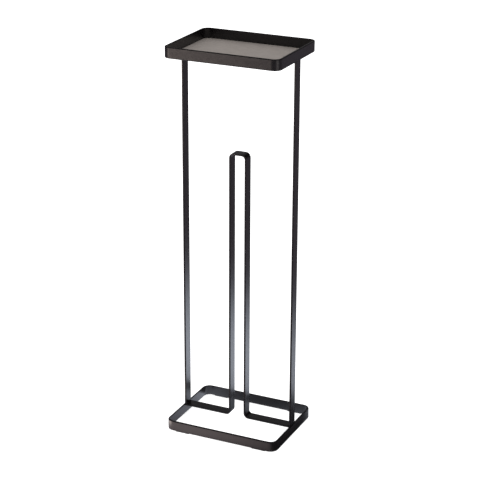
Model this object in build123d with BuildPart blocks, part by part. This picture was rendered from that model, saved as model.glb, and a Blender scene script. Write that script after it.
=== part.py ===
from build123d import *
import os

# Free-standing toilet paper holder: a welded flat-bar stand with a small tray on top.
# All sizes are in millimetres.
# Origin: centre of the footprint, on the floor. +X is to the right along the long side,
# +Y is to the back, and +Z is up.

# Overall sizes
base_length = 190.0  # outside the base ring, along X
base_depth = 145.0  # outside the base ring, along Y
overall_height = 623.0  # floor to the top edge of the tray rim

# Base ring: flat bar standing on its edge, bent into a rounded rectangle
base_bar_height = 16.0
base_bar_thickness = 3.0
base_corner_radius = 13.0  # outer face

# Tray rim: the same kind of ring, a little smaller than the base on every side
tray_setback_x = 1.5
tray_setback_y = 2.0
tray_bar_height = 17.0
tray_bar_thickness = 3.0
tray_corner_radius = 12.0  # outer face

# Rounded long edges of the two rings
ring_outer_round = 1.2  # where hands touch them
ring_inner_round = 0.4  # inside, and under the base ring

# Tray floor: a steel sheet flush with the rim's bottom edge, and the mat that covers it
floor_thickness = 0.8
floor_gap = 0.1  # between the sheet and the rim, all round
mat_thickness = 0.6
mat_gap = 0.4  # between the mat and the rim, all round
mat_edge_round = 0.25

# Flat bar of the uprights and of the roll spindle
bar_width = 17.0
bar_thickness = 3.0
bar_edge_round = 0.7

# Roll spindle: one bent bar, two runs across the base and a tall narrow loop
spindle_width = 29.0  # outside the loop, along X
spindle_top = 454.0  # floor to the top of the loop
spindle_bend_radius = 5.0  # inside of each bend

# Fillet welds
weld_leg = 1.8
weld_throat_radius = 2.4  # hollow face of the bead
narrow_bead_share = 0.6  # of the bar's thickness, for the beads on its narrow sides
seam_share = 0.6  # how far the seam outside each upright's top fills the rim's rounded edge

# Anti-slip pads under the base ring
pad_thickness = 1.0
pad_length = 24.0
pad_corner_distance = 4.0  # from the end of the ring's bend to the pad

# Places that several pieces share
base_top = pad_thickness + base_bar_height
base_inner_x = base_length / 2 - base_bar_thickness
tray_length = base_length - 2 * tray_setback_x
tray_depth = base_depth - 2 * tray_setback_y
tray_bottom = overall_height - tray_bar_height
tray_inner_length = tray_length - 2 * tray_bar_thickness
tray_inner_depth = tray_depth - 2 * tray_bar_thickness
tray_inner_radius = tray_corner_radius - tray_bar_thickness
upright_outer_x = tray_length / 2
upright_inner_x = upright_outer_x - bar_thickness
upright_middle_x = upright_outer_x - bar_thickness / 2

os.makedirs("parts", exist_ok=True)


def save(piece, label):
    piece.part.label = label
    export_step(piece.part, f"parts/{label}.step")


def weld_plane(corner, across, along):
    """A plane at a joint's corner, with its X axis along one joined face and its Y axis along the other."""
    return Plane(corner, x_dir=across, z_dir=Vector(across).cross(Vector(along)))


# Base ring
with BuildPart() as base_ring:
    with BuildSketch(Plane.XY.offset(pad_thickness)):
        RectangleRounded(base_length, base_depth, base_corner_radius)
        offset(amount=-base_bar_thickness, mode=Mode.SUBTRACT)
    extrude(amount=base_bar_height)
    fillet(base_ring.faces().sort_by(Axis.Z)[-1].outer_wire().edges(), ring_outer_round)
    fillet(base_ring.faces().sort_by(Axis.Z)[-1].inner_wires()[0].edges(), ring_inner_round)
    fillet(base_ring.faces().sort_by(Axis.Z)[0].edges(), ring_inner_round)
save(base_ring, "base_ring")

# Tray rim
with BuildPart() as tray_rim:
    with BuildSketch(Plane.XY.offset(tray_bottom)):
        RectangleRounded(tray_length, tray_depth, tray_corner_radius)
        offset(amount=-tray_bar_thickness, mode=Mode.SUBTRACT)
    extrude(amount=tray_bar_height)
    for end in (0, -1):
        fillet(tray_rim.faces().sort_by(Axis.Z)[end].outer_wire().edges(), ring_outer_round)
        fillet(tray_rim.faces().sort_by(Axis.Z)[end].inner_wires()[0].edges(), ring_inner_round)
save(tray_rim, "tray_rim")

# Tray floor, inside the rim
with BuildPart() as tray_floor:
    with BuildSketch(Plane.XY.offset(tray_bottom)):
        RectangleRounded(tray_inner_length, tray_inner_depth, tray_inner_radius)
        offset(amount=-floor_gap, mode=Mode.REPLACE)
    extrude(amount=floor_thickness)
save(tray_floor, "tray_floor")

# Tray mat, on the floor
with BuildPart() as tray_mat:
    with BuildSketch(Plane.XY.offset(tray_bottom + floor_thickness)):
        RectangleRounded(tray_inner_length, tray_inner_depth, tray_inner_radius)
        offset(amount=-mat_gap, mode=Mode.REPLACE)
    extrude(amount=mat_thickness)
    fillet(tray_mat.faces().sort_by(Axis.Z)[-1].edges(), mat_edge_round)
save(tray_mat, "tray_mat")

# Roll spindle: the bar lies flat across the base, turns up, over and down, and crosses to the
# other side. The runs' top faces are level with the base ring's top edge.
run_z = base_top - bar_thickness / 2
leg_x = (spindle_width - bar_thickness) / 2
loop_z = spindle_top - bar_thickness / 2
with BuildPart() as roll_spindle:
    with BuildLine(Plane.XZ) as spindle_path:
        FilletPolyline(
            (-base_inner_x, run_z),
            (-leg_x, run_z),
            (-leg_x, loop_z),
            (leg_x, loop_z),
            (leg_x, run_z),
            (base_inner_x, run_z),
            radius=spindle_bend_radius + bar_thickness / 2,
        )
    with BuildSketch(Plane.YZ.offset(-base_inner_x)):
        with Locations((0, run_z)):
            RectangleRounded(bar_width, bar_thickness, bar_edge_round)
    sweep(path=spindle_path.line)
save(roll_spindle, "roll_spindle")

# Uprights. Each stands across the joint of the base ring and a spindle run, carries the tray
# rim's bottom edge, and is level with the rim's outer face.
for side_name, side in (("left", -1), ("right", 1)):
    with BuildPart() as upright:
        with BuildSketch(Plane.XY.offset(base_top)):
            with Locations((side * upright_middle_x, 0)):
                RectangleRounded(bar_thickness, bar_width, bar_edge_round)
        extrude(amount=tray_bottom - base_top)
    save(upright, f"{side_name}_upright")

# Section of a fillet weld: its square corner lies in the joint
with BuildSketch() as weld_section:
    with BuildLine():
        Line((0, 0), (weld_leg, 0))
        RadiusArc((weld_leg, 0), (0, weld_leg), weld_throat_radius)
        Line((0, weld_leg), (0, 0))
    make_face()

# Section of the seam outside an upright's top: it fills the hollow that the rim's rounded edge
# leaves there, and is ground level with both outer faces
with BuildSketch() as seam_section:
    seam_size = seam_share * ring_outer_round
    Rectangle(seam_size, seam_size, align=Align.MIN)
    with Locations((ring_outer_round, ring_outer_round)):
        Circle(ring_outer_round, mode=Mode.SUBTRACT)

# Welds at both ends of each upright: one bead across its inner face and one on each narrow side.
# At the foot, one more bead holds the run's underside to the base ring, and the narrow beads lie
# on the flat of the ring's top edge. At the top, a ground seam closes the outside.
UP = (0, 0, 1)
DOWN = (0, 0, -1)
wide_bead = bar_width - 2 * bar_edge_round
top_narrow_bead = narrow_bead_share * bar_thickness
foot_narrow_inner_x = base_inner_x + ring_inner_round
foot_narrow_outer_x = upright_outer_x - ring_inner_round
foot_narrow_bead = foot_narrow_outer_x - foot_narrow_inner_x
foot_narrow_x = (foot_narrow_outer_x + foot_narrow_inner_x) / 2
for side_name, side in (("left", -1), ("right", 1)):
    inward = (-side, 0, 0)
    with BuildPart() as foot_welds:
        with BuildSketch(weld_plane((side * upright_inner_x, 0, base_top), inward, UP)):
            add(weld_section.sketch)
        extrude(amount=wide_bead / 2, both=True)
        with BuildSketch(weld_plane((side * base_inner_x, 0, base_top - bar_thickness), inward, DOWN)):
            add(weld_section.sketch)
        extrude(amount=wide_bead / 2, both=True)
        for edge in (-1, 1):
            corner = (side * foot_narrow_x, edge * bar_width / 2, base_top)
            with BuildSketch(weld_plane(corner, (0, edge, 0), UP)):
                add(weld_section.sketch)
            extrude(amount=foot_narrow_bead / 2, both=True)
    save(foot_welds, f"{side_name}_foot_welds")

    with BuildPart() as top_welds:
        with BuildSketch(weld_plane((side * upright_inner_x, 0, tray_bottom), inward, DOWN)):
            add(weld_section.sketch)
        extrude(amount=wide_bead / 2, both=True)
        for edge in (-1, 1):
            corner = (side * upright_middle_x, edge * bar_width / 2, tray_bottom)
            with BuildSketch(weld_plane(corner, (0, edge, 0), DOWN)):
                add(weld_section.sketch)
            extrude(amount=top_narrow_bead / 2, both=True)
        with BuildSketch(weld_plane((side * upright_outer_x, 0, tray_bottom), inward, UP)):
            add(seam_section.sketch)
        extrude(amount=wide_bead / 2, both=True)
    save(top_welds, f"{side_name}_top_welds")

# Anti-slip pads, on the flat of the ring's bottom edge near each corner
pad_x = base_length / 2 - base_corner_radius - pad_corner_distance - pad_length / 2
pad_y = (base_depth - base_bar_thickness) / 2
pad_width = base_bar_thickness - 2 * ring_inner_round
for row_name, row in (("front", -1), ("back", 1)):
    for side_name, side in (("left", -1), ("right", 1)):
        with BuildPart() as pad:
            with BuildSketch():
                with Locations((side * pad_x, row * pad_y)):
                    SlotOverall(pad_length, pad_width)
            extrude(amount=pad_thickness)
        save(pad, f"{row_name}_{side_name}_pad")
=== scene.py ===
# The looks of the free-standing toilet paper holder, in metres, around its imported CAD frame.
import math

import bmesh
import bpy
from mathutils import Matrix, Vector

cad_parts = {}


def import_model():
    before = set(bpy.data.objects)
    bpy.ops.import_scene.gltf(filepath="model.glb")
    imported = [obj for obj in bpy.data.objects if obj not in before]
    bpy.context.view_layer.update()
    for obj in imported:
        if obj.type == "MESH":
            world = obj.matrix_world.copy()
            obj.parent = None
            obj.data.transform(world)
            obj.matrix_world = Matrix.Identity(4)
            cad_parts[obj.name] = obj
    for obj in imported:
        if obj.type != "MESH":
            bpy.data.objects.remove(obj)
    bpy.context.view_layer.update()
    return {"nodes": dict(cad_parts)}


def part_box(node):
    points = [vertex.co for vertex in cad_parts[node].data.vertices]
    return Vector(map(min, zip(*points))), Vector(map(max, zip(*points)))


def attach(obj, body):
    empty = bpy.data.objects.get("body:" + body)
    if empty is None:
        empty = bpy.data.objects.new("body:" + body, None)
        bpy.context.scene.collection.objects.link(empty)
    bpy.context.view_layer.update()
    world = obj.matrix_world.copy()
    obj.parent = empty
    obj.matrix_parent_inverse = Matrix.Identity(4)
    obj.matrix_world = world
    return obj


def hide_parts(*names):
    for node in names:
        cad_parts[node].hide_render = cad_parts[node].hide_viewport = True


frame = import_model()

MM = 0.001
SIDES = ("left", "right")
BARS = ["base_ring", "tray_rim", "left_upright", "right_upright", "roll_spindle", "tray_floor"]
PADS = [f"{row}_{side}_pad" for row in ("front", "back") for side in SIDES]

# Camera
CAMERA_PLACE = (0.9823, -2.0947, 1.1864)
CAMERA_TURN = math.radians(25.11)
CAMERA_DIP = math.radians(20.68)
CAMERA_ROLL = math.radians(0.195)
CAMERA_LENS = 120.5
CAMERA_SENSOR = 36.0
CAMERA_FAR = 100.0

# Colours, each from its darker to its lighter patches
STEEL_TINTS = ((0.0046, 0.0036, 0.0042), (0.0064, 0.0050, 0.0058))
MAT_TINTS = ((0.284, 0.253, 0.233), (0.308, 0.275, 0.253))
RUBBER_TINTS = ((0.012, 0.012, 0.012), (0.020, 0.020, 0.020))
FLOOR_TINTS = ((0.80, 0.80, 0.80), (0.82, 0.82, 0.82))
WHITE = (1.0, 1.0, 1.0)
BLACK = (0.0, 0.0, 0.0)

# Where a noise counts as low and as high, for a value and for a colour
NOISE_RANGE = (0.3, 0.7)
TINT_RANGE = (0.35, 0.65)

# Stage: the white floor, and a glowing card at the floor with painted reflections that the steel
# mirrors in the floor's place, as soft ovals of centre, size, core and colour. Painted pools of light
# add light, and painted shadows hold some back.
FLOOR_RADIUS = 40.0
FLOOR_SIDES = 128
FLOOR_GLOW = 0.75
# Painted reflection: the card's dim glow everywhere, which the steel mirrors as a faint floor
PAINTED_DIM_REFLECTION = (0.185, 0.165, 0.195)
# Painted pools of light for the steel to mirror: behind the object, in front of it, a glint spot by the
# base's front left corner, and far to the front left
PAINTED_LIGHT_POOLS = [
    ((-0.08, 0.29), (0.50, 0.42), 0.20, (2.00, 2.17, 2.46)),
    ((-0.085, -0.095), (0.28, 0.040), 0.10, (1.94, 1.62, 1.56)),
    ((-0.125, -0.085), (0.028, 0.030), 0.30, (5.0, 4.4, 4.0)),
    ((-1.50, -2.00), (1.00, 1.30), 0.20, (5.6, 4.7, 4.3)),
]
# Painted shadows on the card: the tray's cast shadow to the right, a dark patch to the left, and the
# shade inside the base ring
PAINTED_SHADOWS = [
    ((0.175, -0.01), (0.10, 0.17), 0.82, (0.06, 0.06, 0.06)),
    ((-0.20, 0.02), (0.105, 0.10), 0.80, (0.10, 0.10, 0.10)),
    ((0.0, 0.03), (0.11, 0.075), 0.30, (0.30, 0.30, 0.30)),
]

# Soft panels: name, place, aim, size, radiance and colour
PANELS = [
    ("front_panel", (-0.95, -1.60, 0.62), (0.0, 0.0, 0.60), (0.60, 0.16), 6.0, (1.0, 0.88, 0.82)),
    ("right_panel", (1.40, -0.70, 0.30), (0.09, -0.06, 0.60), (0.85, 0.26), 2.0, (1.0, 0.93, 0.91)),
    ("back_panel", (-0.90, 2.00, 1.20), (0.0, 0.0, 0.20), (2.20, 1.30), 0.2, (1.0, 0.97, 1.0)),
]

# Sockets of a mix node that mixes colours
MIX_FACTOR, MIX_A, MIX_B = 0, 6, 7
MIX_RESULT = 2

# The bars that the welds join
BAR_ROUND = 0.7 * MM
RIM_ROUND = 1.2 * MM
RING_ROUND = 0.4 * MM
RING_THICKNESS = 3.0 * MM

# Fillet welds
RIPPLE_PITCH = 1.3 * MM
RIPPLE_HEIGHT = 0.11 * MM
RIPPLE_LEAD = 0.45  # of the pitch, by which a ripple's middle runs ahead of its ends
BEAD_HOLLOW = 0.30 * MM
BEAD_END = 1.1 * MM  # over which a bead grows to its full size
BEAD_TIP = 0.12  # of the full section, at the very end
NARROW_SHARE = 0.6  # of the bar's thickness, for a bead on its narrow side
SEAM_SHARE = 0.6  # of the rim's rounded edge that the ground seam fills
ROWS_PER_RIPPLE = 8
ARC_STEPS = 8
SHARP_ANGLE = math.radians(40)


# ---------------------------------------------------------------- materials

class Shader:
    """A node material that starts from one Principled shader."""

    def __init__(self, name, **sockets):
        self.material = bpy.data.materials.new(name)
        self.material.use_nodes = True
        self.nodes = self.material.node_tree.nodes
        self.links = self.material.node_tree.links
        self.principled = self.nodes["Principled BSDF"]
        for socket, value in sockets.items():
            self.principled.inputs[socket.replace("_", " ")].default_value = value
        self.place = self.nodes.new("ShaderNodeTexCoord").outputs["Object"]

    def noise(self, size, detail=3.0):
        """A noise whose grains are about size metres across."""
        node = self.nodes.new("ShaderNodeTexNoise")
        node.inputs["Scale"].default_value = 1.0 / size
        node.inputs["Detail"].default_value = detail
        node.inputs["Roughness"].default_value = 0.55
        self.links.new(self.place, node.inputs["Vector"])
        return node.outputs["Fac"]

    def spread(self, factor, low, high):
        """Maps a noise onto a range of numbers."""
        node = self.nodes.new("ShaderNodeMapRange")
        node.inputs["From Min"].default_value, node.inputs["From Max"].default_value = NOISE_RANGE
        node.inputs["To Min"].default_value = low
        node.inputs["To Max"].default_value = high
        self.links.new(factor, node.inputs["Value"])
        return node.outputs["Result"]

    def tint(self, factor, tints, positions=TINT_RANGE):
        """Maps a noise onto the colours between a dark and a light one."""
        node = self.nodes.new("ShaderNodeValToRGB")
        for element, position, colour in zip(node.color_ramp.elements, positions, tints):
            element.position = position
            element.color = (*colour, 1.0)
        self.links.new(factor, node.inputs["Fac"])
        return node.outputs["Color"]

    def bump(self, height, distance, after=None):
        """A normal roughened by a height, on top of another normal if one is given."""
        node = self.nodes.new("ShaderNodeBump")
        node.inputs["Distance"].default_value = distance
        self.links.new(height, node.inputs["Height"])
        if after is not None:
            self.links.new(after, node.inputs["Normal"])
        return node.outputs["Normal"]

    def feed(self, socket, output):
        """Links a node's output to a socket of the Principled shader."""
        self.links.new(output, self.principled.inputs[socket])


def coated_steel():
    """Warm black satin powder coat: a fine orange peel, and a slight unevenness in gloss and colour."""
    coat = Shader("coated_steel", Roughness=0.3, IOR=1.5)
    coat.feed("Base Color", coat.tint(coat.noise(9 * MM), STEEL_TINTS))
    coat.feed("Roughness", coat.spread(coat.noise(4 * MM, detail=4.0), 0.27, 0.34))
    peel = coat.bump(coat.noise(1.6 * MM, detail=1.0), 0.012 * MM)
    coat.feed("Normal", coat.bump(coat.noise(0.25 * MM, detail=2.0), 0.002 * MM, after=peel))
    return coat.material


def mat_sheet():
    """Matt warm grey sheet with a fine pebbled grain."""
    sheet = Shader("mat", Roughness=0.8, IOR=1.45)
    sheet.feed("Base Color", sheet.tint(sheet.noise(14 * MM, detail=4.0), MAT_TINTS))
    sheet.feed("Roughness", sheet.spread(sheet.noise(2 * MM), 0.72, 0.86))
    sheet.feed("Normal", sheet.bump(sheet.noise(0.5 * MM, detail=2.0), 0.03 * MM))
    return sheet.material


def pad_rubber():
    """Matt black rubber."""
    rubber = Shader("pad_rubber", Roughness=0.75, IOR=1.5)
    rubber.feed("Base Color", rubber.tint(rubber.noise(3 * MM), RUBBER_TINTS))
    rubber.feed("Roughness", rubber.spread(rubber.noise(1 * MM), 0.68, 0.84))
    rubber.feed("Normal", rubber.bump(rubber.noise(0.3 * MM, detail=2.0), 0.02 * MM))
    return rubber.material


def dress(names, material):
    """Gives CAD nodes their material."""
    for name in names:
        for slot in frame["nodes"][name].material_slots:
            slot.material = material


def add_piece(name, shape, material):
    """A new object from a finished shape."""
    mesh = bpy.data.meshes.new(name)
    shape.to_mesh(mesh)
    shape.free()
    mesh.materials.append(material)
    piece = bpy.data.objects.new(name, mesh)
    bpy.context.collection.objects.link(piece)
    return piece


# ---------------------------------------------------------------- welds

def bead_rows(length, leg):
    """Outlines of a rippled bead, one for each place along it, as (inward, upward, along)."""
    rows = []
    steps = math.ceil(length / RIPPLE_PITCH * ROWS_PER_RIPPLE)
    for i in range(steps + 1):
        from_start = length * i / steps
        from_end = min(from_start, length - from_start)
        swell = math.sqrt(min(1.0, BEAD_TIP + from_end / BEAD_END))
        along = from_start - length / 2
        row = [(0.0, 0.0, along)]
        for j in range(ARC_STEPS + 1):
            across = j / ARC_STEPS
            arch = math.sin(math.pi * across)
            phase = (from_start - RIPPLE_LEAD * RIPPLE_PITCH * arch) / RIPPLE_PITCH
            ripple = 0.5 + 0.5 * math.cos(math.tau * phase)
            push = arch * (RIPPLE_HEIGHT * ripple ** 2 - BEAD_HOLLOW) * swell * math.sqrt(0.5)
            row.append((leg * swell * (1 - across) + push, leg * swell * across + push, along))
        rows.append(row)
    return rows


def seam_rows(length):
    """Outlines of the ground seam in the hollow of the rim's rounded bottom edge."""
    size = SEAM_SHARE * RIM_ROUND
    start = math.asin(1 - SEAM_SHARE)
    stop = math.pi / 2 - start
    arc = [start + (stop - start) * j / ARC_STEPS for j in range(ARC_STEPS + 1)]
    hollow = [(RIM_ROUND * (1 - math.sin(a)), RIM_ROUND * (1 - math.cos(a))) for a in arc]
    outline = [(0.0, 0.0), (size, 0.0), *hollow, (0.0, size)]
    return [[(x, z, along) for x, z in outline] for along in (-length / 2, length / 2)]


def add_run(shape, rows, corner, inward, upward):
    """Adds a closed run through a row of outlines, set in a joint's corner."""
    along = inward.cross(upward)
    rings = []
    for row in rows:
        rings.append([shape.verts.new(corner + inward * u + upward * v + along * w) for u, v, w in row])
    for ring, after in zip(rings, rings[1:]):
        for i in range(len(ring)):
            j = (i + 1) % len(ring)
            shape.faces.new((ring[i], ring[j], after[j], after[i]))
    shape.faces.new(rings[0])
    shape.faces.new(rings[-1])


def joint_runs(side_name, end_name):
    """Every bead at one end of one upright, as (rows, corner, inward, upward)."""
    side = -1 if side_name == "left" else 1
    inward = Vector((-side, 0, 0))
    up = Vector((0, 0, 1))
    bar_low, bar_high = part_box(f"{side_name}_upright")
    outer_x = max(bar_low.x, bar_high.x, key=abs)
    inner_x = min(bar_low.x, bar_high.x, key=abs)
    thickness = bar_high.x - bar_low.x
    wide = bar_high.y - bar_low.y - 2 * BAR_ROUND
    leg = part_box(f"{side_name}_{end_name}_welds")[1].y - bar_high.y
    if end_name == "top":
        z, rise = bar_high.z, -up
        narrow_x = (inner_x + outer_x) / 2
        narrow = NARROW_SHARE * thickness
        runs = [(seam_rows(wide), Vector((outer_x, 0, z)), inward, up)]
    else:
        z, rise = bar_low.z, up
        ring_inner_x = side * (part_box("base_ring")[1].x - RING_THICKNESS)
        narrow_from = ring_inner_x + side * RING_ROUND
        narrow_to = outer_x - side * RING_ROUND
        narrow_x = (narrow_from + narrow_to) / 2
        narrow = abs(narrow_to - narrow_from)
        runs = [(bead_rows(wide, leg), Vector((ring_inner_x, 0, z - thickness)), inward, -up)]
    runs.append((bead_rows(wide, leg), Vector((inner_x, 0, z)), inward, rise))
    for edge_y, outward in ((bar_low.y, -1), (bar_high.y, 1)):
        corner = Vector((narrow_x, edge_y, z))
        runs.append((bead_rows(narrow, leg), corner, Vector((0, outward, 0)), rise))
    return runs


def weld_beads(side_name, end_name, material):
    """The rippled beads at one end of one upright, in place of the plain CAD ones."""
    node = f"{side_name}_{end_name}_welds"
    shape = bmesh.new()
    for rows, corner, inward, upward in joint_runs(side_name, end_name):
        add_run(shape, rows, corner, inward, upward)
    bmesh.ops.recalc_face_normals(shape, faces=shape.faces)
    beads = add_piece(f"{node}_beads", shape, material)
    beads.data.shade_smooth()
    beads.data.set_sharp_from_angle(angle=SHARP_ANGLE)
    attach(beads, "root")
    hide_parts(node)


# ---------------------------------------------------------------- stage, light and camera

def disc(name, material):
    """A flat round stage piece on the floor, about the object's middle."""
    shape = bmesh.new()
    turns = [math.tau * i / FLOOR_SIDES for i in range(FLOOR_SIDES)]
    edge = [(FLOOR_RADIUS * math.cos(turn), FLOOR_RADIUS * math.sin(turn), 0.0) for turn in turns]
    shape.faces.new([shape.verts.new(point) for point in edge])
    piece = add_piece(name, shape, material)
    return piece


def floor_paint():
    """White floor, lit a little from below like a light table, so that only contact shadows show."""
    paint = Shader("floor_paint", Roughness=0.9, Specular_IOR_Level=0.0)
    paint.principled.inputs["Emission Color"].default_value = (*WHITE, 1.0)
    paint.principled.inputs["Emission Strength"].default_value = FLOOR_GLOW
    paint.feed("Base Color", paint.tint(paint.noise(0.4), FLOOR_TINTS, NOISE_RANGE))
    return paint.material


def patch(shader, centre, size, core):
    """A soft oval on the floor, the mask of a painted pool of light or painted shadow: 1 inside its
    core, 0 outside its size.
    """
    away = shader.place
    for operation, vector in (("SUBTRACT", (*centre, 0.0)), ("DIVIDE", (*size, 1.0)), ("LENGTH", None)):
        node = shader.nodes.new("ShaderNodeVectorMath")
        node.operation = operation
        shader.links.new(away, node.inputs[0])
        if vector is not None:
            node.inputs[1].default_value = vector
        away = node.outputs["Value" if operation == "LENGTH" else "Vector"]
    node = shader.nodes.new("ShaderNodeMapRange")
    node.interpolation_type = "SMOOTHSTEP"
    node.inputs["From Min"].default_value = core
    node.inputs["To Min"].default_value = 1.0
    node.inputs["To Max"].default_value = 0.0
    shader.links.new(away, node.inputs["Value"])
    return node.outputs["Result"]


def painted_floor_reflections():
    """Painted reflections for the steel to mirror: a glowing card, no lamp, with painted pools of light
    and painted shadows beside the object.
    """
    glow = Shader("painted_floor_reflections", Base_Color=(*BLACK, 1.0), Specular_IOR_Level=0.0)
    colour = None
    for blend, patches in (("ADD", PAINTED_LIGHT_POOLS), ("MULTIPLY", PAINTED_SHADOWS)):
        for centre, size, core, tint in patches:
            mix = glow.nodes.new("ShaderNodeMix")
            mix.data_type = "RGBA"
            mix.blend_type = blend
            mix.inputs[MIX_A].default_value = (*PAINTED_DIM_REFLECTION, 1.0)
            if colour is not None:
                glow.links.new(colour, mix.inputs[MIX_A])
            mix.inputs[MIX_B].default_value = (*tint, 1.0)
            glow.links.new(patch(glow, centre, size, core), mix.inputs[MIX_FACTOR])
            colour = mix.outputs[MIX_RESULT]
    glow.feed("Emission Color", colour)
    glow.principled.inputs["Emission Strength"].default_value = 1.0
    return glow.material


def floors():
    """The floor that is seen, and the glowing card of painted reflections that only the steel's
    reflections see.
    """
    floor = disc("floor", floor_paint())
    floor.visible_glossy = False
    # A glowing card of painted pools of light and painted shadows, seen only in the steel's reflections
    mirrored = disc("painted_reflection_card", painted_floor_reflections())
    mirrored.visible_camera = False
    mirrored.visible_diffuse = False
    mirrored.visible_shadow = False


def area_light(name, place, aim, size, radiance, colour):
    """A soft panel, whose brightness is its radiance."""
    light = bpy.data.lights.new(name, "AREA")
    light.shape = "RECTANGLE"
    light.size, light.size_y = size
    light.energy = math.pi * size[0] * size[1] * radiance
    light.color = colour
    lamp = bpy.data.objects.new(name, light)
    lamp.location = place
    lamp.rotation_mode = "QUATERNION"
    lamp.rotation_quaternion = (Vector(aim) - Vector(place)).to_track_quat("-Z", "Y")
    bpy.context.collection.objects.link(lamp)


def camera():
    """The camera, at the front right and well above the tray."""
    data = bpy.data.cameras.new("camera")
    data.sensor_width = CAMERA_SENSOR
    data.lens = CAMERA_LENS
    data.clip_end = CAMERA_FAR
    view = bpy.data.objects.new("camera", data)
    turn = Matrix.Rotation(CAMERA_TURN, 4, "Z")
    dip = Matrix.Rotation(math.pi / 2 - CAMERA_DIP, 4, "X")
    roll = Matrix.Rotation(CAMERA_ROLL, 4, "Z")
    view.matrix_world = Matrix.Translation(CAMERA_PLACE) @ turn @ dip @ roll
    bpy.context.collection.objects.link(view)
    bpy.context.scene.camera = view


def world():
    """White all round, which lights matt faces but isn't mirrored in the steel."""
    sky = bpy.data.worlds.new("studio")
    sky.use_nodes = True
    background = sky.node_tree.nodes["Background"]
    background.inputs["Color"].default_value = (*WHITE, 1.0)
    background.inputs["Strength"].default_value = 1.0
    sky.cycles_visibility.glossy = False
    bpy.context.scene.world = sky


steel = coated_steel()
dress(BARS, steel)
for side_name in SIDES:
    for end_name in ("foot", "top"):
        weld_beads(side_name, end_name, steel)
dress(["tray_mat"], mat_sheet())
dress(PADS, pad_rubber())

floors()
world()
for panel in PANELS:
    area_light(*panel)
camera()

bpy.context.scene.view_settings.view_transform = "Standard"
